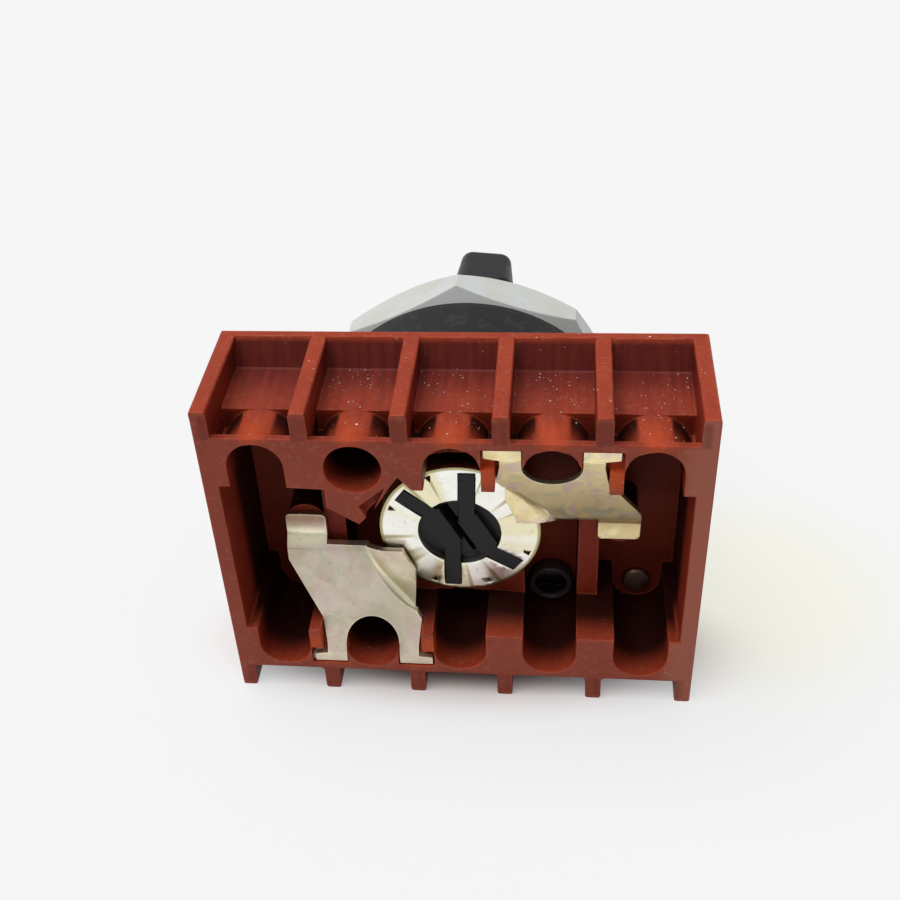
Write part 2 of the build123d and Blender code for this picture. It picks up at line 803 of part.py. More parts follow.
with BuildPart() as knob_screw:
    with BuildSketch(grub_plane) as grub:
        Circle(grub_radius)
    extrude(amount=grub_length)
    with BuildSketch(grub_plane.offset(grub_length)) as grub_socket:
        RegularPolygon(grub_socket_radius, 6)
    extrude(amount=-grub_socket_depth, mode=Mode.SUBTRACT)
knob_screw.part.label = "knob_screw"

pieces = [
    contact_housing.part,
    contact_plate_lower.part,
    contact_plate_upper.part,
    rotor_cup.part,
    rotor_body.part,
    location_pins.part,
    fixing_screws.part,
    operator_body.part,
    bearing_plate.part,
    panel_gasket.part,
    shaft_seal.part,
    thrust_washer.part,
    ring_nut.part,
    drive_shaft.part,
    retaining_clip.part,
    detent_wheel.part,
    selector_knob.part,
    pointer_inlay.part,
    knob_screw.part,
]
for piece in pieces + collars + detent_springs:
    export_step(piece, f"parts/{piece.label}.step")
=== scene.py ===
"""Looks of a panel-mounted selector switch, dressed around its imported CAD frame."""

import logging
import math
import random
from dataclasses import dataclass
from enum import Enum
from typing import Any, Sequence, TypeAlias

import bmesh
import bpy
from mathutils import Matrix, Vector
from mathutils.bvhtree import BVHTree
from mathutils.kdtree import KDTree


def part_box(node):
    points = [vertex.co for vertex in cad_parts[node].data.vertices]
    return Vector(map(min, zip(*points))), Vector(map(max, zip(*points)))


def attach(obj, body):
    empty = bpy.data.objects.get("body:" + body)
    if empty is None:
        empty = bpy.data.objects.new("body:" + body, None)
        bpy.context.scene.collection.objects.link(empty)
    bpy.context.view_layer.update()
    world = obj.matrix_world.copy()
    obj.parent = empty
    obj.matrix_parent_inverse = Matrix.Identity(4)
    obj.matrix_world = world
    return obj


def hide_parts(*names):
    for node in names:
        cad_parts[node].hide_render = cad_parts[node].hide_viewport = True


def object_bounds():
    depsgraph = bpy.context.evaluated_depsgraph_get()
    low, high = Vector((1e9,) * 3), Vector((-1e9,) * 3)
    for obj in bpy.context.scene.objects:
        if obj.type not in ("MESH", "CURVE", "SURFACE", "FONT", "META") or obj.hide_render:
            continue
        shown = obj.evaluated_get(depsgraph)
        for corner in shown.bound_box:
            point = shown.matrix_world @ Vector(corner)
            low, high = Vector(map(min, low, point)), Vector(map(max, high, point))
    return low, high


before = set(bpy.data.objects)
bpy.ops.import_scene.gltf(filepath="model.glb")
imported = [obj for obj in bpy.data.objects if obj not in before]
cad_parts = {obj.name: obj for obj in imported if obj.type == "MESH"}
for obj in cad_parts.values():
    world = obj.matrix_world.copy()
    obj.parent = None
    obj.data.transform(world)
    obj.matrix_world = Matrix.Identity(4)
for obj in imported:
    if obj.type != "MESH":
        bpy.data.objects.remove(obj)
CAD_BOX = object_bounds()
MM = 0.001
log = logging.getLogger("selector_switch")

Pair: TypeAlias = tuple[float, float]
Triple: TypeAlias = tuple[float, float, float]
Colour: TypeAlias = Triple
Number: TypeAlias = "Wire | float"
Material: TypeAlias = bpy.types.Material
Mesh: TypeAlias = bmesh.types.BMesh
Piece: TypeAlias = bpy.types.Object


class Body(Enum):
    """The two bodies of the frame that pieces ride on."""

    BLOCK = "block"
    SELECTOR = "selector"


class Slot(Enum):
    """The record's material slots; each new piece is passed one."""

    THERMOSET = "maroon_thermoset"
    PLATE = "plated_brass"
    CUP = "bright_brass"
    BLACK = "black_plastic"
    COLLAR = "collar_plastic"
    PIN = "copper_pin"
    SCREW = "black_steel"
    RUBBER = "black_rubber"
    NUT = "grey_nut"
    KNOB = "knob_plastic"


# ---------------- shader tools


class Wire:
    """A shader socket that takes part in Python expressions on numbers."""

    def __init__(self, graph: "Graph", socket: bpy.types.NodeSocket) -> None:
        """Keeps the socket and the graph that it belongs to."""
        self.graph = graph
        self.socket = socket

    def __add__(self, other: Number) -> "Wire":
        """Adds a number or another wire."""
        return self.graph.math("ADD", self, other)

    def __radd__(self, other: Number) -> "Wire":
        """Adds this wire to a number."""
        return self.graph.math("ADD", other, self)

    def __sub__(self, other: Number) -> "Wire":
        """Subtracts a number or another wire."""
        return self.graph.math("SUBTRACT", self, other)

    def __rsub__(self, other: Number) -> "Wire":
        """Subtracts this wire from a number."""
        return self.graph.math("SUBTRACT", other, self)

    def __mul__(self, other: Number) -> "Wire":
        """Multiplies by a number or another wire."""
        return self.graph.math("MULTIPLY", self, other)

    def __rmul__(self, other: Number) -> "Wire":
        """Multiplies a number by this wire."""
        return self.graph.math("MULTIPLY", other, self)

    def __truediv__(self, other: Number) -> "Wire":
        """Divides by a number or another wire."""
        return self.graph.math("DIVIDE", self, other)

    def __abs__(self) -> "Wire":
        """Drops the sign."""
        return self.graph.math("ABSOLUTE", self)

    def rise(self, low: float, high: float) -> "Wire":
        """Smooth step from 0 at low to 1 at high, or the other way round when low is larger."""
        settings = {"interpolation_type": "SMOOTHSTEP", "clamp": True}
        inputs = {"Value": self, "From Min": min(low, high), "From Max": max(low, high),
                  "To Min": float(low > high), "To Max": float(low < high)}
        return self.graph.node("MapRange", settings, inputs)


class Graph:
    """The node tree of a material or of the sky, with one method that makes any node."""

    def __init__(self, name: str, sky: bool = False) -> None:
        """Makes an empty material of this name, or an empty sky."""
        self.owner = bpy.data.worlds.new(name) if sky else bpy.data.materials.new(name)
        self.ending = "OutputWorld" if sky else "OutputMaterial"
        self.owner.use_nodes = True
        self.tree = self.owner.node_tree
        self.tree.nodes.clear()

    def feed(self, socket: bpy.types.NodeSocket, value: Any) -> None:
        """Links a wire to a socket, or sets the socket's own value.

        Args:
            socket: The input socket.
            value: A wire, a number, a vector or a colour of three or four values.
        """
        if isinstance(value, Wire):
            self.tree.links.new(value.socket, socket)
        elif socket.type == "RGBA" and len(value) == 3:
            socket.default_value = (*value, 1.0)
        else:
            socket.default_value = value

    def node(self, kind: str, settings: dict | None = None, inputs: dict | None = None,
             output: int | str = 0) -> Wire | None:
        """Makes one node.

        Args:
            kind: The node's type without its ShaderNode prefix.
            settings: The node's own options, set before its sockets.
            inputs: Values or wires by socket name or index.
            output: The name or index of the socket to return.

        Returns:
            The chosen output as a wire, or None where the node has no outputs.
        """
        made = self.tree.nodes.new("ShaderNode" + kind)
        for name, value in (settings or {}).items():
            setattr(made, name, value)
        for name, value in (inputs or {}).items():
            self.feed(made.inputs[name], value)
        return Wire(self, made.outputs[output]) if made.outputs else None

    def math(self, operation: str, *values: Number) -> Wire:
        """Makes a Math node on numbers or wires."""
        return self.node("Math", {"operation": operation}, dict(enumerate(values)))

    def vector(self, operation: str, *values: Any, output: str = "Vector") -> Wire:
        """Makes a Vector Math node on vectors or wires."""
        return self.node("VectorMath", {"operation": operation}, dict(enumerate(values)), output)

    def place(self) -> Wire:
        """Object coordinates, which stay with a piece when it moves."""
        return self.node("TexCoord", output="Object")

    def stretched(self, factors: Sequence[float], turn: Sequence[float] = (0, 0, 0)) -> Wire:
        """Object coordinates that turn a pattern by radians and draw it out by factors."""
        inputs = {"Vector": self.place(), "Rotation": turn, "Scale": factors}
        return self.node("Mapping", {"vector_type": "TEXTURE"}, inputs)

    def noise(self, size: float, detail: float = 2.0, place: Wire | None = None,
              distortion: float = 0.0) -> Wire:
        """Noise whose blotches are about this size in metres.

        Args:
            size: The blotches' size.
            detail: The number of finer layers.
            place: Coordinates other than the object's own.
            distortion: How far the pattern swirls.

        Returns:
            The noise value, about 0.3 to 0.7.
        """
        inputs = {"Vector": place or self.place(), "Scale": 1 / size, "Detail": detail,
                  "Distortion": distortion}
        return self.node("TexNoise", None, inputs)

    def mix(self, factor: Number, low: Any, high: Any) -> Wire:
        """Colour mix from low to high."""
        settings = {"data_type": "RGBA", "clamp_factor": True}
        return self.node("Mix", settings, {0: factor, 6: low, 7: high}, output=2)

    def facing(self, direction: Sequence[float]) -> Wire:
        """Cosine between the piece's own surface normal and a direction."""
        normal = self.node("TexCoord", output="Normal")
        return self.vector("DOT_PRODUCT", normal, direction, output="Value")

    def along(self, axis: int) -> Wire:
        """One of the object coordinates, 0 for X, 1 for Y or 2 for Z."""
        return self.node("SeparateXYZ", None, {"Vector": self.place()}, output=axis)

    def across(self, x: float, z: float) -> Wire:
        """Offset in metres, with a Y of 0, from the line along Y at this X and Z."""
        offset = self.vector("SUBTRACT", self.place(), (x, 0.0, z))
        return self.vector("MULTIPLY", offset, (1.0, 0.0, 1.0))

    def near(self, centre: Sequence[float], radius: float,
             squash: Sequence[float] = (1, 1, 1)) -> Wire:
        """Soft round mask about a place.

        Args:
            centre: The place in millimetres.
            radius: Where the mask ends, in millimetres.
            squash: Factors on the distance along each direction.

        Returns:
            1 at the place and 0 beyond the radius.
        """
        offset = self.vector("SUBTRACT", self.place(), [c * MM for c in centre])
        scaled = self.vector("MULTIPLY", offset, squash)
        distance = self.vector("LENGTH", scaled, output="Value")
        return distance.rise(radius * MM, radius * 0.35 * MM)

    def edges(self, radius: float) -> Wire:
        """Mask of convex and concave edges within this radius."""
        flat = self.node("NewGeometry", output="Normal")
        dot = self.vector("DOT_PRODUCT", self.rounding(radius), flat, output="Value")
        return (1 - dot).rise(0.004, 0.11)

    def rounding(self, radius: float) -> Wire:
        """Normal of a surface whose corners are rounded to this radius."""
        return self.node("Bevel", {"samples": 4}, {"Radius": radius})

    def specks(self, spacing: float, radius: float, share: float, offset: float = 0.0) -> Wire:
        """Mask of small round specks.

        Args:
            spacing: Mean distance between candidate places in metres.
            radius: Speck radius in metres.
            share: Share of the places that hold a speck.
            offset: Shift of the pattern, so that two layers differ.

        Returns:
            1 in a speck and 0 elsewhere.
        """
        moved = self.vector("ADD", self.place(), (offset,) * 3)
        inputs = {"Vector": moved, "Scale": 1 / spacing}
        near = self.node("TexVoronoi", None, inputs, output="Distance")
        chosen = self.node("TexVoronoi", None, inputs, output="Color")
        pick = self.node("SeparateColor", None, {"Color": chosen}, output=0)
        size = self.node("SeparateColor", None, {"Color": chosen}, output=1)
        reach = (0.45 + size) * (radius / spacing)
        return (near / reach).rise(1.0, 0.7) * pick.rise(1 - share, 1 - share + 0.001)

    def scratches(self, spacing: float, width: float, angle: float) -> Wire:
        """Mask of fine broken lines in one direction in the plane of X and Z.

        Args:
            spacing: Mean distance between the lines in metres.
            width: The lines' width in metres.
            angle: Their turn about Y in radians.

        Returns:
            1 on a line and 0 elsewhere.
        """
        place = self.stretched((1.0, 1.0, 5.0), (0, angle, 0))
        bent = self.noise(spacing * 3, 1.0)
        moved = self.vector("MULTIPLY_ADD", bent * spacing, (1.0, 1.0, 1.0), place)
        inputs = {"Vector": moved, "Scale": 1 / spacing}
        edge = self.node("TexVoronoi", {"feature": "DISTANCE_TO_EDGE"}, inputs)
        broken = self.noise(spacing * 1.4, 2.0).rise(0.5, 0.62)
        return edge.rise(width / spacing, width / spacing * 0.35) * broken

    def bump(self, height: Wire, depth: float, rounding: float = 0.0) -> Wire:
        """Normal of a relief this deep in metres, with its corners rounded where asked."""
        inputs = {"Distance": depth, "Height": height}
        if rounding:
            inputs["Normal"] = self.rounding(rounding)
        return self.node("Bump", None, inputs)

    def surface(self, colour: Any, roughness: Any, normal: Wire | None = None,
                constants: dict | None = None, metallic: Any = 0.0) -> Material:
        """Ends the material in one Principled shader.

        Args:
            colour: Base colour or wire.
            roughness: Roughness or wire.
            normal: Bumped normal.
            constants: Plain values of the shader's other sockets.
            metallic: Metallic share or wire.

        Returns:
            The finished material.
        """
        inputs = {"Base Color": colour, "Roughness": roughness, "Metallic": metallic}
        inputs.update(constants or {})
        if normal is not None:
            inputs["Normal"] = normal
        shader = self.node("BsdfPrincipled", None, inputs)
        return self.finish(shader)

    def finish(self, shader: Wire) -> Material | bpy.types.World:
        """Ends the tree in this shader, and returns what it belongs to."""
        self.node(self.ending, None, {"Surface": shader})
        return self.owner


# ---------------- finishes


@dataclass(frozen=True)
class Band:
    """A range with soft ends, in millimetres: its start, where it is full, and its end."""

    start: float
    full: float
    fading: float
    end: float

    def mask(self, value: Wire) -> Wire:
        """1 where the value in metres lies in the range, and 0 outside."""
        return (value.rise(self.start * MM, self.full * MM)
                * value.rise(self.end * MM, self.fading * MM))


@dataclass(frozen=True)
class Thermoset:
    """Maroon compound, dusty on what faces up, with painted shade inside and painted glow at
    crests and lugs.
    """

    name: str = "maroon_thermoset_finish"
    body: Colour = (0.335, 0.040, 0.014)
    deep: Colour = (0.225, 0.020, 0.009)
    # Colour of rubbed edges, also used for painted edge highlights and painted light on what faces
    # up.
    worn_and_highlit: Colour = (0.60, 0.120, 0.050)
    film: Colour = (0.42, 0.130, 0.085)
    speck: Colour = (0.80, 0.68, 0.56)
    # Painted shade: the near-black colour that deep inner walls turn to.
    inside: Colour = (0.016, 0.003, 0.002)
    # Painted shade colour of the wire cells' far walls and floors.
    recess_shade: Colour = (0.110, 0.012, 0.009)
    # Painted glow colour where light would shine through the moulding.
    painted_glow: Colour = (0.62, 0.085, 0.018)
    roughness: float = 0.44
    open_face: float = -26.2 * MM
    axis_height: float = 23.1 * MM
    pitch: float = 11.6 * MM
    outer_side: float = 28.8 * MM
    outer_back: float = 16.2 * MM
    face_fade: float = 0.6 * MM
    bay_half_height: float = 18.7 * MM
    dark_depth: float = 5.0 * MM
    cell_height: Band = Band(19.1, 19.3, 22.2, 22.9)
    crest_height: Band = Band(41.2, 41.8, 42.6, 43.2)
    corner_round: float = 0.12 * MM
    lugs: tuple[Triple, ...] = (
        (-19.2, -25.4, 8.6), (-3.9, -25.4, 8.6), (4.1, -25.4, 37.6), (19.0, -25.4, 37.6))

    def within(self, g: Graph) -> tuple[Wire, Wire, Wire]:
        """Measures a point's place inside the block.

        Args:
            g: The material's graph.

        Returns:
            Depth from the open face, height off the axis, and a mask that leaves the outside out.
        """
        depth = g.along(1) - self.open_face
        off_axis = abs(g.along(2) - self.axis_height)
        off_middle = abs(g.along(0))
        inside = off_middle.rise(self.outer_side + self.face_fade, self.outer_side)
        before_back = depth.rise(self.outer_back + self.face_fade, self.outer_back)
        return depth, off_axis, inside * before_back

    def shade(self, g: Graph) -> Wire:
        """Mask of painted shade on the inner walls, which grows darker with their depth.

        Args:
            g: The material's graph.

        Returns:
            1 where the painted shade is darkest.
        """
        depth, off_axis, hollow = self.within(g)
        wall = 1 - abs(g.facing((0.0, 1.0, 0.0)))
        inner = off_axis.rise(self.bay_half_height + 0.3 * MM, self.bay_half_height) * hollow
        lit_side = (abs(g.along(0)).rise(27.4 * MM, 27.8 * MM)
                    * depth.rise(8 * MM, 5 * MM))
        dark = depth.rise(0.2 * MM, self.dark_depth) * inner
        return dark * (0.22 + 0.74 * wall) * (1 - 0.95 * lit_side)

    def cells(self, g: Graph) -> Wire:
        """Mask of painted shade on the wire cells' far walls and floors, streaked along the cell.

        Args:
            g: The material's graph.

        Returns:
            The mask, up to about 1 at the far walls.
        """
        depth, off_axis, hollow = self.within(g)
        cell = self.cell_height.mask(off_axis) * hollow
        streak = g.noise(0.9 * MM, 2.0, g.stretched((1.0, 12.0, 12.0))).rise(0.35, 0.65)
        return cell * (0.22 + 0.60 * depth.rise(7 * MM, 14.5 * MM) + 0.20 * streak)

    def glow(self, g: Graph) -> Wire:
        """Mask of painted glow where light would shine through: the arches' crests and the lugs.

        Args:
            g: The material's graph.

        Returns:
            1 where the moulding is thinnest.
        """
        column = g.math("PINGPONG", g.along(0) + 2.5 * self.pitch, self.pitch / 2)
        crest = column.rise(3.4 * MM, 5.6 * MM)
        front = (g.along(1) - self.open_face).rise(6.5 * MM, 1.5 * MM)
        mask = crest * front * self.crest_height.mask(g.along(2)) * 0.55
        for lug in self.lugs:
            mask = mask + g.near(lug, 2.0, (1.0, 0.7, 0.8))
        return mask

    def build(self) -> Material:
        """Makes the material.

        Returns:
            The finished material.
        """
        g = Graph(self.name)
        cloud = g.noise(5 * MM, 3.0).rise(0.36, 0.66)
        fine = g.noise(0.4 * MM, 3.0)
        colour = g.mix(cloud * 0.45 + fine * 0.55, self.deep, self.body)
        # Edges lighten: rubbed edges and painted edge highlights.
        rim = g.edges(0.34 * MM) * g.noise(1.8 * MM, 3.0).rise(0.30, 0.56)
        colour = g.mix(rim * 0.85, colour, self.worn_and_highlit)
        up = g.facing((0.0, -0.35, 0.94)).rise(0.1, 0.95)
        front = g.facing((0.0, -1.0, 0.0)).rise(0.9, 0.98)
        land = (g.along(1) - self.open_face).rise(0.5 * MM, 0.3 * MM) * front
        dusty = g.noise(0.7 * MM, 5.0).rise(0.50, 0.76) * (0.10 + 0.35 * up + 0.25 * land)
        # Painted light: what faces up turns lighter, as if lit from above.
        colour = g.mix(up * 0.16, colour, self.worn_and_highlit)
        # The open-face lands take the film colour, most strongly towards the right side.
        right = g.along(0).rise(25 * MM, 28 * MM)
        colour = g.mix(dusty + (0.34 + 0.60 * right) * land, colour, self.film)
        patch = g.noise(3.2 * MM, 3.0, distortion=0.8).rise(0.46, 0.62)
        grains = g.specks(0.50 * MM, 0.050 * MM, 0.20) * (0.10 + 0.90 * up) * (0.2 + 0.8 * patch)
        flecks = g.specks(1.7 * MM, 0.14 * MM, 0.22, 0.31) * up * (0.3 + 0.7 * patch)
        # Painted shade in the wire cells, darkest at their far end.
        colour = g.mix(self.cells(g), colour, self.recess_shade)
        # Painted glow at the arches' crests and the lugs.
        colour = g.mix(self.glow(g) * (0.7 + 0.3 * fine), colour, self.painted_glow)
        # Painted shade: inner walls darken towards near black with depth.
        colour = g.mix(self.shade(g), colour, self.inside)
        colour = g.mix(grains * 0.7, colour, self.speck)
        colour = g.mix(flecks * 0.9, colour, self.speck)
        roughness = self.roughness + 0.25 * dusty + 0.12 * fine
        height = g.noise(0.14 * MM, 2.0) * 0.6 + g.noise(1.1 * MM, 1.0) * 0.4 + grains * 0.5
        constants = {"Subsurface Weight": 0.10, "Subsurface Radius": (1.0, 0.10, 0.05),
                     "Subsurface Scale": 1.2 * MM, "Specular IOR Level": 0.16}
        normal = g.bump(height, 0.016 * MM, self.corner_round)
        return g.surface(colour, roughness, normal, constants)


@dataclass(frozen=True)
class Tint:
    """A soft patch of another colour: its place and radius in millimetres."""

    centre: Triple
    radius: float
    colour: Colour
    squash: Triple = (1.0, 1.0, 1.0)
    share: float = 0.85


@dataclass(frozen=True)
class SheetBrass:
    """Plated brass sheet with tarnish clouds, a few scratches, and painted highlights on bends and
    edges.
    """

    name: str
    pale: Colour = (0.80, 0.70, 0.50)
    warm: Colour = (0.60, 0.47, 0.26)
    green: Colour = (0.62, 0.64, 0.46)
    pink: Colour = (0.78, 0.60, 0.56)
    cast: float = 0.70
    # The edge colour marks scratches and also paints highlights on edges and bends.
    edge: Colour = (1.0, 0.94, 0.66)
    stain: Colour = (0.30, 0.25, 0.16)
    # Painted shade colour beside the flap's bend.
    bend_shade: Colour = (0.45, 0.36, 0.16)
    metallic: float = 0.85
    roughness: float = 0.30
    clouds: float = 3.0 * MM
    scratch: float = 0.28
    bends: float = 0.30 * MM
    arc_centre: Pair = (0.0, 0.0)
    arc_radius: float = 0.0
    arc_reach: Triple = (0.0, 0.0, 0.0)
    tints: tuple[Tint, ...] = ()

    def bend_line(self, g: Graph) -> tuple[Wire, Wire]:
        """Masks of painted light at the formed flap's bend, seen square on.

        Args:
            g: The material's graph.

        Returns:
            The painted highlight on the bend and the painted shade beside it.
        """
        x, z = self.arc_centre
        radius = g.vector("LENGTH", g.across(x * MM, z * MM), output="Value")
        reach = g.near(self.arc_reach, 7.5, (1.0, 0.3, 1.0))
        past = radius - self.arc_radius * MM
        bright = abs(past).rise(0.30 * MM, 0.12 * MM) * reach
        shade_beside_bend = past.rise(0.0, -0.15 * MM) * past.rise(-1.6 * MM, -0.5 * MM) * reach
        return bright, shade_beside_bend

    def ground(self, g: Graph, tarnish: Wire) -> Wire:
        """The clouded colour under stains, scratches and edges.

        Args:
            g: The material's graph.
            tarnish: Mask of the tarnished clouds.

        Returns:
            The colour.
        """
        colour = g.mix(tarnish, self.pale, self.warm)
        swirl = g.noise(3.6 * MM, 3.0, distortion=1.2)
        colour = g.mix(swirl.rise(0.54, 0.68) * self.cast, colour, self.green)
        colour = g.mix(swirl.rise(0.46, 0.34) * self.cast, colour, self.pink)
        for tint in self.tints:
            mask = g.near(tint.centre, tint.radius, tint.squash) * tint.share
            colour = g.mix(mask, colour, tint.colour)
        return colour

    def build(self) -> Material:
        """Makes the material.

        Returns:
            The finished material.
        """
        g = Graph(self.name)
        tarnish = g.noise(self.clouds, 4.0, distortion=0.6).rise(0.34, 0.68)
        stain = g.noise(0.6 * MM, 3.0).rise(0.58, 0.76)
        colour = g.mix(stain * 0.22, self.ground(g, tarnish), self.stain)
        lines = g.scratches(5.2 * MM, 0.05 * MM, 0.5) + g.scratches(6.4 * MM, 0.04 * MM, 2.1)
        rim = g.edges(self.bends)
        colour = g.mix(lines * self.scratch, colour, self.edge)
        # Painted shade beside the flap's bend and a painted highlight along it.
        if self.arc_radius:
            bright, shade_beside_bend = self.bend_line(g)
            colour = g.mix(shade_beside_bend * 0.6, colour, self.bend_shade)
            colour = g.mix(bright * 0.9, colour, self.edge)
        # Painted highlights on edges and bends.
        colour = g.mix(rim * 0.85, colour, self.edge)
        roughness = self.roughness + 0.12 * tarnish + 0.14 * stain - 0.08 * rim
        height = g.noise(0.25 * MM, 3.0) - 0.4 * lines
        return g.surface(colour, roughness, g.bump(height, 0.006 * MM), metallic=self.metallic)


@dataclass(frozen=True)
class CupBrass(SheetBrass):
    """The cup's bright brass with painted reflections: near-white facets; painted shade on ridges
    and rim.
    """

    # The ridge colour is painted shade on the ridges and the rim; the side colour is painted light
    # on the side wall.
    ridge: Colour = (0.40, 0.34, 0.13)
    gold: Colour = (0.90, 0.82, 0.50)
    side: Colour = (0.86, 0.72, 0.36)
    axis_height: float = 23.1 * MM
    rim_radius: float = 9.75 * MM

    def ground(self, g: Graph, tarnish: Wire) -> Wire:
        """The facets' painted reflections: tones that change only with the direction from the
        axis.

        Args:
            g: The material's graph.
            tarnish: Mask of the tarnished clouds.

        Returns:
            The colour.
        """
        flat = g.across(0.0, self.axis_height)
        radius = g.vector("LENGTH", flat, output="Value")
        ray = g.vector("NORMALIZE", flat)
        # Painted reflections: facet tones set by the direction from the axis, with olive ridges of
        # painted shade.
        tone = g.noise(0.55, 0.0, ray)
        ridge = abs(g.noise(0.75, 0.0, ray) - 0.5).rise(0.022, 0.004)
        colour = g.mix(tone.rise(0.50, 0.60) * 0.8, self.pale, self.gold)
        colour = g.mix(tarnish * 0.20, colour, self.warm)
        colour = g.mix(ridge * radius.rise(4.5 * MM, 8.0 * MM) * 0.8, colour, self.ridge)
        # A painted dark rim on the front face, and painted light on the side wall.
        face = abs(g.facing((0.0, 1.0, 0.0))).rise(0.4, 0.8)
        rim = radius.rise(self.rim_radius, self.rim_radius + 0.3 * MM)
        colour = g.mix(rim * face * 0.9, colour, self.ridge)
        return g.mix(rim * (1 - face) * 0.9, colour, self.side)


@dataclass(frozen=True)
class Moulding:
    """Plain moulded plastic with a fine grain, a faint film of dust and a few specks."""

    name: str
    body: Colour
    film: Colour = (0.085, 0.085, 0.083)
    edge: Colour = (0.085, 0.085, 0.085)
    speck: Colour = (0.42, 0.41, 0.39)
    roughness: float = 0.42
    dust: float = 0.18
    grain: float = 0.22 * MM
    specular: float = 0.25

    def build(self) -> Material:
        """Makes the material.

        Returns:
            The finished material.
        """
        g = Graph(self.name)
        cloud = g.noise(1.6 * MM, 5.0).rise(0.46, 0.74)
        colour = g.mix(cloud * self.dust, self.body, self.film)
        colour = g.mix(g.edges(0.2 * MM) * 0.35, colour, self.edge)
        grains = g.specks(0.9 * MM, 0.04 * MM, 0.10)
        colour = g.mix(grains * 0.4, colour, self.speck)
        roughness = self.roughness + 0.18 * cloud
        height = g.noise(self.grain, 2.0)
        return g.surface(colour, roughness, g.bump(height, 0.012 * MM),
                         {"Specular IOR Level": self.specular})


@dataclass(frozen=True)
class Painted:
    """Pale grey ring nut coat: soft mottling, small marks, rubbed edges, painted shade on its end
    faces.
    """

    name: str = "grey_nut_finish"
    coat: Colour = (0.64, 0.66, 0.65)
    warm: Colour = (0.60, 0.61, 0.55)
    mark: Colour = (0.34, 0.35, 0.33)
    # The turned colour is painted shade on the faces square to the axis.
    turned: Colour = (0.44, 0.45, 0.43)
    edge: Colour = (0.72, 0.74, 0.71)
    roughness: float = 0.36

    def build(self) -> Material:
        """Makes the material.

        Returns:
            The finished material.
        """
        g = Graph(self.name)
        colour = g.mix(g.noise(5 * MM, 2.0).rise(0.35, 0.65), self.coat, self.warm)
        marks = g.noise(0.55 * MM, 4.0).rise(0.60, 0.72) * g.noise(3 * MM, 1.0).rise(0.45, 0.6)
        lines = g.scratches(3.0 * MM, 0.05 * MM, 1.1)
        colour = g.mix(marks * 0.25 + lines * 0.30, colour, self.mark)
        # Painted shade: the faces square to the axis turn darker.
        front = abs(g.facing((0.0, 1.0, 0.0))).rise(0.55, 0.9)
        colour = g.mix(front * 0.75, colour, self.turned)
        colour = g.mix(g.edges(0.25 * MM) * 0.6, colour, self.edge)
        height = g.noise(0.35 * MM, 2.0) - lines * 0.5
        return g.surface(colour, self.roughness + 0.14 * marks,
                         g.bump(height, 0.01 * MM, 0.28 * MM), {"Specular IOR Level": 0.45})


@dataclass(frozen=True)
class Metal:
    """Turned or rolled metal with faint streaks."""

    name: str
    body: Colour
    streak: Colour
    roughness: float = 0.32
    metallic: float = 1.0

    def build(self) -> Material:
        """Makes the finished material."""
        g = Graph(self.name)
        streaks = g.noise(0.8 * MM, 3.0, g.stretched((1.0, 6.0, 1.0))).rise(0.38, 0.64)
        colour = g.mix(streaks, self.body, self.streak)
        colour = g.mix(g.edges(0.1 * MM) * 0.4, colour, self.body)
        height = g.noise(0.2 * MM, 2.0)
        return g.surface(colour, self.roughness + 0.12 * streaks, g.bump(height, 0.004 * MM),
                         metallic=self.metallic)


# ---------------- mesh tools


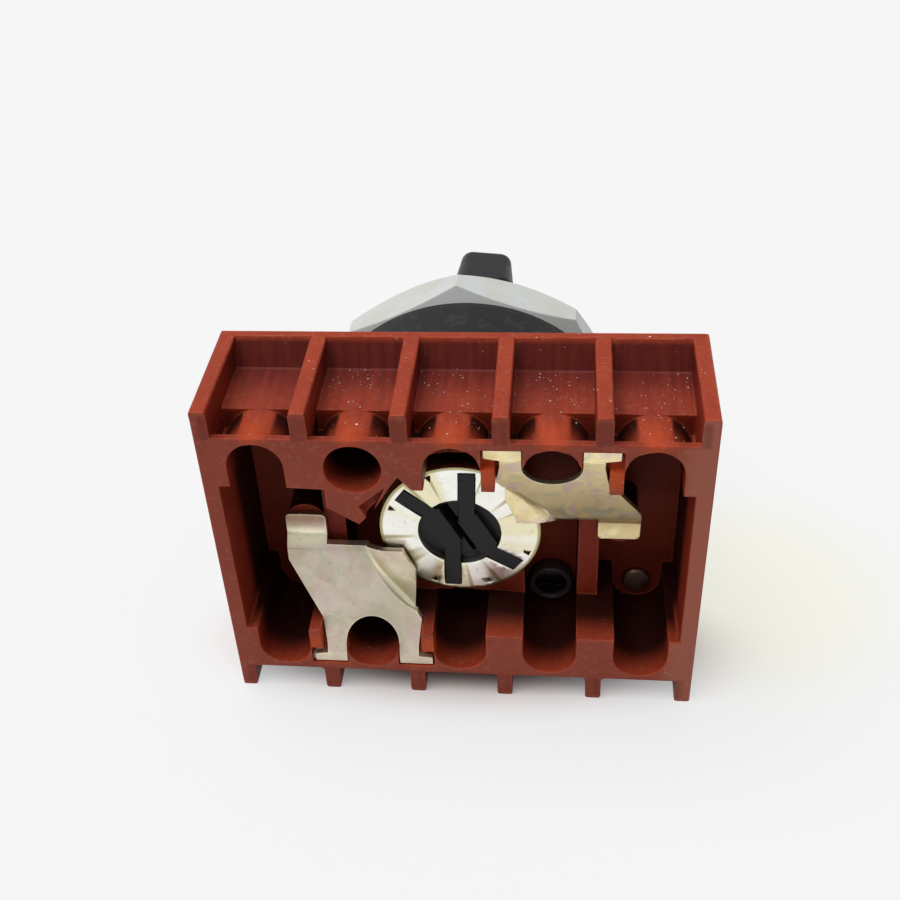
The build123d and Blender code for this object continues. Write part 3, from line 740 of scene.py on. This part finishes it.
@dataclass(frozen=True)
class Softening:
    """Rounds a CAD shape's sharp corners, and leaves one sharp where its rounding would fold."""

    width: float
    corner: float = 33.0
    rounds: int = 2
    tries: int = 10
    weld: float = 0.02 * MM
    share_dropped: float = 0.6

    def welded(self, node: str) -> Mesh:
        """Reads a CAD node's mesh and joins its faces along shared edges."""
        bm = bmesh.new()
        bm.from_mesh(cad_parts[node].data)
        bmesh.ops.remove_doubles(bm, verts=bm.verts, dist=self.weld)
        bmesh.ops.dissolve_degenerate(bm, edges=bm.edges, dist=self.weld / 2)
        bm.edges.index_update()
        bm.edges.ensure_lookup_table()
        return bm

    def rounded(self, base: Mesh, corners: set[int]) -> Mesh:
        """Copies the mesh with these edges rounded.

        Args:
            base: The welded mesh.
            corners: Indices of the edges to round.

        Returns:
            The rounded copy.
        """
        bm = base.copy()
        bm.edges.ensure_lookup_table()
        bmesh.ops.bevel(bm, geom=[bm.edges[i] for i in corners], offset=self.width,
                        offset_type="OFFSET", segments=self.rounds, profile=0.5,
                        affect="EDGES", clamp_overlap=False, loop_slide=True,
                        miter_outer="SHARP", miter_inner="SHARP")
        return bm

    def folded(self, bm: Mesh, surface: BVHTree) -> list[Vector]:
        """Finds the corners of faces that lie inside out or far from the CAD surface.

        Args:
            bm: The rounded mesh.
            surface: The CAD surface.

        Returns:
            Their vertices' places.
        """
        limit = self.width * 0.9
        spots = []
        for face in bm.faces:
            if face.calc_area() < 1e-13:
                continue
            _, normal, _, distance = surface.find_nearest(face.calc_center_median())
            far = any(surface.find_nearest(v.co)[3] > limit for v in face.verts)
            if far or distance > limit or face.normal.dot(normal) < 0.0:
                spots.extend(v.co.copy() for v in face.verts)
        return spots

    def build(self, node: str, name: str) -> Piece:
        """Makes the rounded piece.

        Args:
            node: The CAD node to stand for.
            name: The new piece's name.

        Returns:
            The new object, smooth shaded.
        """
        base = self.welded(node)
        surface = BVHTree.FromBMesh(base)
        least = math.radians(self.corner)
        corners = {e.index for e in base.edges
                   if len(e.link_faces) == 2 and e.calc_face_angle(0.0) > least}
        length = {i: base.edges[i].calc_length() for i in corners}
        samples = []
        for i in sorted(corners):
            start, end = (v.co for v in base.edges[i].verts)
            steps = max(1, int(length[i] / (0.5 * MM)))
            samples.extend((start.lerp(end, k / steps), i) for k in range(steps + 1))
        finder = KDTree(len(samples))
        for k, (place, _) in enumerate(samples):
            finder.insert(place, k)
        finder.balance()
        for _ in range(self.tries):
            bm = self.rounded(base, corners)
            spots = self.folded(bm, surface)
            near = {samples[k][1] for spot in spots
                    for _, k, _ in finder.find_range(spot, self.width * 1.6)} & corners
            if not near:
                break
            shortest = sorted(near, key=lambda i: (length[i], i))
            corners -= set(shortest[:max(1, int(len(near) * self.share_dropped))])
            bm.free()
            bm = self.rounded(base, corners)
        for edge in bm.edges:
            edge.smooth = edge.calc_face_angle(0.0) < math.radians(50)
        for face in bm.faces:
            face.smooth = True
        flatten(bm)
        base.free()
        return placed(bm, name)


def flatten(bm: Mesh, width: float = 0.25 * MM) -> None:
    """Shades the plane faces flat, and leaves curved ones and rounded corners smooth.

    Args:
        bm: The mesh to change.
        width: Plane areas narrower than this stay smooth.
    """
    level, gentle = math.radians(0.3), math.radians(13)
    seen: set[int] = set()
    bm.faces.index_update()
    for first in bm.faces:
        if first.index in seen:
            continue
        seen.add(first.index)
        group, queue, curved = [], [first], False
        while queue:
            face = queue.pop()
            group.append(face)
            for edge in face.edges:
                angle = edge.calc_face_angle(0.0)
                curved |= level <= angle < gentle
                if angle >= level:
                    continue
                for other in edge.link_faces:
                    if other.index not in seen:
                        seen.add(other.index)
                        queue.append(other)
        longest = max(edge.calc_length() for face in group for edge in face.edges)
        if not curved and sum(face.calc_area() for face in group) > longest * width:
            for face in group:
                face.smooth = False


def shown(data: bpy.types.ID, name: str) -> Piece:
    """Makes an object of a mesh, a lamp or a camera, and puts it in the scene."""
    piece = bpy.data.objects.new(name, data)
    bpy.context.scene.collection.objects.link(piece)
    return piece


def linked(bm: Mesh, name: str) -> Piece:
    """Puts a mesh in the scene as it is, and frees its builder."""
    mesh = bpy.data.meshes.new(name)
    bm.to_mesh(mesh)
    bm.free()
    return shown(mesh, name)


def placed(bm: Mesh, name: str, smooth: bool = False) -> Piece:
    """Puts a mesh in the scene, with normals that keep its large faces level.

    Args:
        bm: The piece's mesh, which is freed.
        name: The piece's name.
        smooth: Whether every face is shaded smooth.

    Returns:
        The new object.
    """
    piece = linked(bm, name)
    mesh = piece.data
    if smooth:
        mesh.polygons.foreach_set("use_smooth", [True] * len(mesh.polygons))
    weighted = piece.modifiers.new("flat_faces", "WEIGHTED_NORMAL")
    weighted.mode = "FACE_AREA"
    weighted.weight = 50
    weighted.keep_sharp = True
    return piece


def turned(angle: float, centre_z: float, profile: Sequence[Pair]) -> list[Vector]:
    """Places pairs of radius and Y at one angle about the switch's axis."""
    return [Vector((r * math.cos(angle), y, centre_z + r * math.sin(angle))) for r, y in profile]


def lofted(rings: Sequence[Sequence[Vector]], closed: bool) -> Mesh:
    """Joins rings of points with faces.

    Args:
        rings: The rings in order, with as many points each.
        closed: Whether the last joins the first; if not, both end rings are filled.

    Returns:
        The mesh.
    """
    bm = bmesh.new()
    rows = [[bm.verts.new(point) for point in ring] for ring in rings]
    for a, b in zip(rows, rows[1:] + rows[:int(closed)]):
        for j in range(len(a)):
            k = (j + 1) % len(a)
            bm.faces.new((a[j], a[k], b[k], b[j]))
    if not closed:
        for row in (rows[0], rows[-1]):
            bm.faces.new(row)
    bmesh.ops.recalc_face_normals(bm, faces=bm.faces)
    return bm


def crease(piece: Piece, area: float, angle: float) -> None:
    """Marks the edges between two large faces as sharp.

    Args:
        piece: The object to mark.
        area: Least area of both faces in square metres.
        angle: Least angle between them in degrees.
    """
    bm = bmesh.new()
    bm.from_mesh(piece.data)
    for edge in bm.edges:
        faces = edge.link_faces
        large = len(faces) == 2 and all(f.calc_area() > area for f in faces)
        if large and edge.calc_face_angle(0.0) > math.radians(angle):
            edge.smooth = False
    bm.to_mesh(piece.data)
    bm.free()


def dress(piece: Piece, material: Material, slot: Slot, body: Body,
          *nodes: str) -> Piece:
    """Gives a new piece its material and body, and hides the nodes it stands for.

    Args:
        piece: The new object.
        material: Its finish.
        slot: Not used.
        body: The body it rides on.
        *nodes: CAD nodes that the piece replaces.

    Returns:
        The piece.
    """
    piece.data.materials.clear()
    piece.data.materials.append(material)
    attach(piece, body.value)
    if nodes:
        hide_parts(*nodes)
    log.info("%s: %d faces on %s", piece.name, len(piece.data.polygons), body.value)
    return piece


def soften(node: str, name: str, softening: Softening, material: Material, slot: Slot,
           body: Body = Body.BLOCK) -> Piece:
    """Replaces a CAD node by its copy with rounded corners.

    Args:
        node: The CAD node.
        name: The new piece's name.
        softening: How its corners are rounded.
        material: Its finish.
        slot: The record's material slot.
        body: The body it rides on.

    Returns:
        The new piece.
    """
    return dress(softening.build(node, name), material, slot, body, node)


def refinish(material: Material, *nodes: str) -> None:
    """Gives CAD nodes that stay in view their material."""
    for node in nodes:
        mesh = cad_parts[node].data
        mesh.materials.clear()
        mesh.materials.append(material)
        log.info("%s: CAD shape kept", node)


# ---------------- sub-assemblies


@dataclass
class ContactDeck:
    """The thermoset block with what is fixed in it."""

    edge_round: float = 0.16 * MM
    sheet_round: float = 0.07 * MM
    turned_round: float = 0.08 * MM
    screw_round: float = 0.06 * MM
    crumb_count: int = 300
    crumb_size: Pair = (0.035 * MM, 0.13 * MM)
    crumb_depth: float = 6 * MM
    heap_share: float = 0.7
    heap_spread: float = 2.0
    crumb_heaps: tuple[Pair, ...] = (
        (-12.5, -16.0), (-10.8, -12.0), (-1.5, -14.5), (1.0, -20.0), (11.0, -13.0), (13.5, -17.0),
        (24.5, -19.0), (21.5, -23.0), (26.5, -15.0))
    seed: int = 11

    def build(self) -> None:
        """Builds the housing, the dust on it, the plates, collars, pins and screws."""
        housing = soften("contact_housing", "housing_moulding", Softening(self.edge_round),
                         Thermoset().build(), Slot.THERMOSET)
        self.scatter_crumbs(housing)
        self.build_plates()
        self.build_floor_parts()

    def scatter_crumbs(self, housing: Piece) -> None:
        """Drops small grains of dust on what faces up in the upper wire cells.

        Args:
            housing: The moulding that they lie on.
        """
        rng = random.Random(self.seed)
        bm = bmesh.new()
        bm.from_mesh(housing.data)
        tree = BVHTree.FromBMesh(bm)
        bm.free()
        low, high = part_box("contact_housing")
        grains = bmesh.new()
        made = 0
        while made < self.crumb_count:
            x, y = rng.uniform(low.x, high.x), rng.uniform(low.y, high.y)
            if rng.random() < self.heap_share:
                heap = rng.choice(self.crumb_heaps)
                x, y = (rng.gauss(c, self.heap_spread) * MM for c in heap)
            hit, normal, _, _ = tree.ray_cast(Vector((x, y, high.z + 5 * MM)), Vector((0, 0, -1)))
            if hit is None or normal.z < 0.5 or hit.z < high.z - self.crumb_depth:
                continue
            least, most = self.crumb_size
            size = least + (most - least) * rng.random() ** 2.5
            turn = Matrix.Rotation(rng.uniform(0, math.tau), 4, "Z")
            shape = Matrix.Diagonal((size, size * rng.uniform(0.5, 0.9), size * 0.5, 1.0))
            where = Matrix.Translation(hit + Vector((0, 0, size * 0.2)))
            bmesh.ops.create_icosphere(grains, subdivisions=1, radius=1.0,
                                       matrix=where @ turn @ shape)
            made += 1
        chalk = Moulding("dust_crumb_finish", (0.62, 0.55, 0.50), film=(0.75, 0.72, 0.68),
                         edge=(0.7, 0.66, 0.6), roughness=0.8).build()
        dress(placed(grains, "dust_crumbs", smooth=True), chalk, Slot.THERMOSET, Body.BLOCK)

    def build_plates(self) -> None:
        """Builds the two bent contact plates."""
        tab = (0.3, 0.5, 1.0)
        lower = SheetBrass(
            "lower_plate_finish", pale=(0.80, 0.70, 0.58), warm=(0.70, 0.57, 0.43),
            arc_centre=(12.4, 33.8), arc_radius=28.1, arc_reach=(-9.0, -21.5, 15.8),
            # Painted reflection: a dark patch on the tab's upper part and a pale highlight on its
            # bend; two olive patches lie lower on the plate.
            tints=(Tint((-20.1, -18.8, 24.9), 3.2, (0.27, 0.16, 0.09), tab),
                   Tint((-20.1, -19.2, 21.2), 1.6, (1.0, 0.93, 0.66), tab),
                   Tint((-6.5, -21.0, 14.5), 5.0, (0.66, 0.60, 0.38), share=0.6),
                   Tint((-10.5, -22.5, 8.5), 6.5, (0.50, 0.50, 0.36), share=0.55)))
        upper = SheetBrass(
            "upper_plate_finish", pale=(1.0, 0.87, 0.50), warm=(0.84, 0.68, 0.34),
            arc_centre=(-12.4, 12.4), arc_radius=28.1, arc_reach=(9.0, -21.5, 30.4),
            # A pale patch on the flap is a painted highlight; a darker patch lies on the tab.
            tints=(Tint((8.0, -20.8, 31.0), 4.5, (1.0, 0.88, 0.50), share=0.7),
                   Tint((20.1, -18.8, 25.2), 2.2, (0.66, 0.50, 0.26), tab)))
        for side, finish in (("lower", lower), ("upper", upper)):
            soften(f"contact_plate_{side}", f"{side}_plate_sheet", Softening(self.sheet_round),
                   finish.build(), Slot.PLATE)

    def build_floor_parts(self) -> None:
        """Builds the collars, the location pins and the fixing screws."""
        small = Softening(self.turned_round)
        collar = Moulding("collar_finish", (0.055, 0.040, 0.036), roughness=0.34, dust=0.3)
        for side in ("lower", "upper"):
            soften(f"collar_{side}", f"{side}_screw_collar", small, collar.build(), Slot.COLLAR)
        copper = Metal("pin_finish", (0.34, 0.19, 0.13), (0.20, 0.12, 0.09), roughness=0.42)
        soften("location_pins", "location_pin_pair", small, copper.build(), Slot.PIN)
        oxide = Metal("screw_finish", (0.045, 0.045, 0.048), (0.025, 0.025, 0.027))
        soften("fixing_screws", "fixing_screw_pair", Softening(self.screw_round), oxide.build(),
               Slot.SCREW)


@dataclass
class Rotor:
    """The brass cup and the black carrier whose bars show through it."""

    facet_area: float = 4e-6
    facet_angle: float = 1.5
    cup_round: float = 0.07 * MM
    carrier_round: float = 0.14 * MM

    def build(self) -> None:
        """Builds both pieces on the moving body."""
        # The near-white pale and warm colours stand for the facets' painted reflections.
        brass = CupBrass("cup_finish", pale=(1.0, 0.99, 0.93), warm=(0.98, 0.94, 0.74),
                         edge=(0.72, 0.64, 0.38), roughness=0.26, clouds=2.0 * MM, scratch=0.05,
                         bends=0.12 * MM, metallic=1.0)
        cup = soften("rotor_cup", "rotor_cup_pressing", Softening(self.cup_round), brass.build(),
                     Slot.CUP, Body.SELECTOR)
        crease(cup, self.facet_area, self.facet_angle)
        black = Moulding("carrier_finish", (0.009, 0.009, 0.010), film=(0.05, 0.05, 0.05),
                         roughness=0.34, dust=0.25)
        soften("rotor_body", "rotor_carrier", Softening(self.carrier_round), black.build(),
               Slot.BLACK, Body.SELECTOR)


@dataclass
class Operator:
    """The flange and bush, the gasket, the ring nut and what turns inside."""

    flange_round: float = 0.25 * MM
    gasket_round: float = 0.20 * MM
    bush_radius: float = 14.9 * MM
    thread_pitch: float = 1.0 * MM
    thread_height: float = 0.32 * MM
    thread_root: float = -0.05 * MM
    thread_steps: int = 96
    thread_fade: int = 12
    nut_sides: int = 8
    nut_steps: int = 16
    nut_across: float = 40.3 * MM
    nut_faces: Pair = (17.6 * MM, 19.5 * MM)
    nut_slopes: Pair = (33.0, 50.0)
    nut_bore: float = 15.0 * MM
    nut_lead: float = 0.6 * MM

    def build(self) -> None:
        """Builds the operator's pieces."""
        black = Moulding("operator_finish", (0.010, 0.011, 0.011), roughness=0.48, dust=0.34)
        soften("operator_body", "operator_moulding", Softening(self.flange_round), black.build(),
               Slot.BLACK)
        self.build_thread(black)
        self.build_nut()
        rubber = Moulding("rubber_finish", (0.018, 0.018, 0.018), roughness=0.62, dust=0.2).build()
        soften("panel_gasket", "panel_gasket_ring", Softening(self.gasket_round), rubber,
               Slot.RUBBER)
        refinish(rubber, "shaft_seal")
        refinish(black.build(), "bearing_plate")
        washer = Moulding("washer_finish", (0.60, 0.57, 0.50), film=(0.66, 0.63, 0.57),
                          edge=(0.68, 0.65, 0.58))
        refinish(washer.build(), "thrust_washer", "detent_wheel")
        spring = Metal("spring_finish", (0.46, 0.46, 0.47), (0.36, 0.36, 0.37))
        refinish(spring.build(), "detent_spring_left", "detent_spring_right", "retaining_clip")
        steel = Metal("shaft_finish", (0.62, 0.62, 0.61), (0.5, 0.5, 0.49))
        refinish(steel.build(), "drive_shaft")

    def build_nut(self) -> None:
        """Turns the ring nut: flats whose ends are cut back to cones, so their edges are arcs."""
        low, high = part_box("ring_nut")
        centre_z = (low.z + high.z) / 2
        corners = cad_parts["ring_nut"].data.vertices
        widest = max(corners, key=lambda v: math.hypot(v.co.x, v.co.z - centre_z)).co
        first = math.atan2(widest.z - centre_z, widest.x)
        slopes = [math.tan(math.radians(angle)) for angle in self.nut_slopes]
        side = math.tau / self.nut_sides
        wide = self.nut_bore + self.nut_lead
        rings = []
        for i in range(self.nut_sides * self.nut_steps):
            turn = side * i / self.nut_steps
            reach = self.nut_across / 2 / math.cos(turn % side - side / 2)
            back = high.y - max(0.0, reach - self.nut_faces[1]) * slopes[1]
            front = low.y + max(0.0, reach - self.nut_faces[0]) * slopes[0]
            profile = ((self.nut_bore, low.y + self.nut_lead), (wide, low.y),
                       (self.nut_faces[0], low.y), (reach, front), (reach, back),
                       (self.nut_faces[1], high.y), (wide, high.y),
                       (self.nut_bore, high.y - self.nut_lead))
            rings.append(turned(first + turn, centre_z, profile))
        bm = lofted(rings, closed=True)
        for edge in bm.edges:
            edge.smooth = edge.calc_face_angle(0.0) < math.radians(12)
        nut = placed(bm, "ring_nut_turned", smooth=True)
        dress(nut, Painted().build(), Slot.NUT, Body.BLOCK, "ring_nut")

    def build_thread(self, black: Moulding) -> None:
        """Winds a thread ridge on the stretch of bush that stands out of the nut.

        Args:
            black: The bush's finish.
        """
        _, nut_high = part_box("ring_nut")
        low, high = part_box("operator_body")
        start, end = nut_high.y + 0.35 * MM, high.y - 1.0 * MM
        centre_z = (low.z + high.z) / 2
        count = int((end - start) / self.thread_pitch * self.thread_steps)
        half = self.thread_pitch * 0.36
        root = self.bush_radius + self.thread_root
        rings = []
        for i in range(count + 1):
            y = start + (end - start) * i / count
            fade = min(1.0, i / self.thread_fade, (count - i) / self.thread_fade)
            crest = self.bush_radius + self.thread_height * fade
            profile = ((root, y - half), (crest, y), (root, y + half))
            rings.append(turned(math.tau * i / self.thread_steps, centre_z, profile))
        ridge = placed(lofted(rings, closed=False), "bush_thread", smooth=True)
        dress(ridge, black.build(), Slot.BLACK, Body.BLOCK)


@dataclass
class Knob:
    """The lever knob with its pointer and grub screw."""

    edge_round: float = 0.3 * MM

    def build(self) -> None:
        """Builds the knob's pieces on the moving body."""
        finish = Moulding("knob_finish", (0.014, 0.015, 0.015), roughness=0.40, dust=0.14)
        soften("selector_knob", "knob_moulding", Softening(self.edge_round, rounds=3),
               finish.build(), Slot.KNOB, Body.SELECTOR)
        white = Moulding("pointer_finish", (0.84, 0.84, 0.81), film=(0.7, 0.69, 0.65),
                         edge=(0.86, 0.86, 0.84), roughness=0.45)
        refinish(white.build(), "pointer_inlay")
        oxide = Metal("grub_finish", (0.05, 0.05, 0.052), (0.03, 0.03, 0.03))
        refinish(oxide.build(), "knob_screw")


@dataclass
class Studio:
    """The pale floor, the lights and the camera."""

    focal_pixels: float = 1234.31
    image_width: float = 900.0
    eye: Triple = (0.01212, -0.13623, 0.12830)
    pitch: float = 0.6646
    yaw: float = -0.1496
    roll: float = -0.0739
    shift: Pair = (0.0431, 0.0019)
    floor_reach: float = 4.0
    floor_gap: float = 0.02 * MM
    floor_colour: Colour = (0.86, 0.86, 0.86)
    paper: Colour = (0.922, 0.922, 0.922)
    paper_share: float = 0.68
    # Colour and place of a painted warm glow on the floor.
    painted_warm_glow: Colour = (0.93, 0.93, 0.72)
    warm_glow_place: Triple = (41.0, -5.0, 0.0)
    dim_floor: Colour = (0.58, 0.58, 0.58)
    # Painted shadow colour of the floor near the feet.
    shaded_floor: Colour = (0.66, 0.50, 0.44)
    sun_from: Triple = (-0.30, -0.05, 1.0)
    sun_strength: float = 2.45
    sun_spread: float = 60.0
    sky_low: Colour = (0.16, 0.155, 0.15)
    sky_high: Colour = (0.38, 0.385, 0.40)
    sky_mirrored: Colour = (0.52, 0.52, 0.53)

    def build(self) -> None:
        """Builds the stage."""
        self.build_floor()
        self.build_light()
        self.build_camera()
        bpy.context.scene.view_settings.view_transform = "Standard"

    def build_floor(self) -> None:
        """Lays a large matt floor under the feet, part of whose whiteness is its own."""
        g = Graph("studio_floor")
        seen = g.node("LightPath", output="Is Camera Ray")
        mirrored = g.node("LightPath", output="Is Glossy Ray")
        # Painted shadow: near the feet the floor's diffuse colour turns darker and warmer.
        feet = g.near((0.0, -17.0, 0.0), 15.0, (0.34, 1.0, 1.0))
        direct = g.mix(feet, self.floor_colour, self.shaded_floor)
        tone = g.mix(seen + mirrored, self.dim_floor, direct)
        diffuse = g.node("BsdfDiffuse", None, {"Color": tone})
        # A painted warm glow on the floor to the right of the block.
        warm = g.near(self.warm_glow_place, 26.0) * 0.6
        paper = g.mix(warm, self.paper, self.painted_warm_glow)
        glow = g.node("Emission", None, {"Color": paper, "Strength": 1.0})
        share = (seen + mirrored) * self.paper_share * (1 - feet)
        both = g.node("MixShader", None, {0: share, 1: diffuse, 2: glow})
        material = g.finish(both)
        bm = bmesh.new()
        bmesh.ops.create_grid(bm, x_segments=1, y_segments=1, size=self.floor_reach)
        floor = linked(bm, "floor")
        floor.location.z = CAD_BOX[0].z - self.floor_gap
        floor.data.materials.append(material)

    def build_light(self) -> None:
        """Sets a broad lamp and a sky that is brighter overhead."""
        lamp = bpy.data.lights.new("broad_lamp", "SUN")
        lamp.energy = self.sun_strength
        lamp.angle = math.radians(self.sun_spread)
        sun = shown(lamp, "broad_lamp")
        sun.rotation_mode = "QUATERNION"
        sun.rotation_quaternion = Vector(self.sun_from).to_track_quat("Z", "Y")
        g = Graph("soft_sky", sky=True)
        height = g.node("SeparateXYZ", None, {"Vector": g.node("TexCoord", output="Generated")},
                        output="Z")
        upward = g.node("MapRange", {"clamp": True}, {"Value": height, "From Max": 0.8})
        mirrored = g.node("LightPath", output="Is Glossy Ray")
        tone = g.mix(mirrored, g.mix(upward, self.sky_low, self.sky_high), self.sky_mirrored)
        bpy.context.scene.world = g.finish(g.node("Background", None, {"Color": tone}))

    def build_camera(self) -> None:
        """Places the camera at the photograph's viewing angle."""
        forward = Vector((math.sin(self.yaw) * math.cos(self.pitch),
                          math.cos(self.yaw) * math.cos(self.pitch), -math.sin(self.pitch)))
        level = Vector((math.cos(self.yaw), -math.sin(self.yaw), 0.0))
        rise = level.cross(forward)
        right = level * math.cos(self.roll) + rise * math.sin(self.roll)
        up = rise * math.cos(self.roll) - level * math.sin(self.roll)
        data = bpy.data.cameras.new("camera")
        data.sensor_width = 36.0
        data.lens = self.focal_pixels / self.image_width * data.sensor_width
        data.shift_x, data.shift_y = self.shift
        data.clip_start, data.clip_end = 0.005, 20.0
        camera = shown(data, "camera")
        turn = Matrix((right, up, -forward)).transposed().to_4x4()
        camera.matrix_world = Matrix.Translation(self.eye) @ turn
        bpy.context.scene.camera = camera


def main() -> None:
    """Builds the stage and every sub-assembly in order."""
    logging.basicConfig(level=logging.INFO, format="%(message)s")
    for part in (Studio(), ContactDeck(), Rotor(), Operator(), Knob()):
        log.info("building %s", type(part).__name__)
        part.build()


if __name__ == "__main__":
    main()
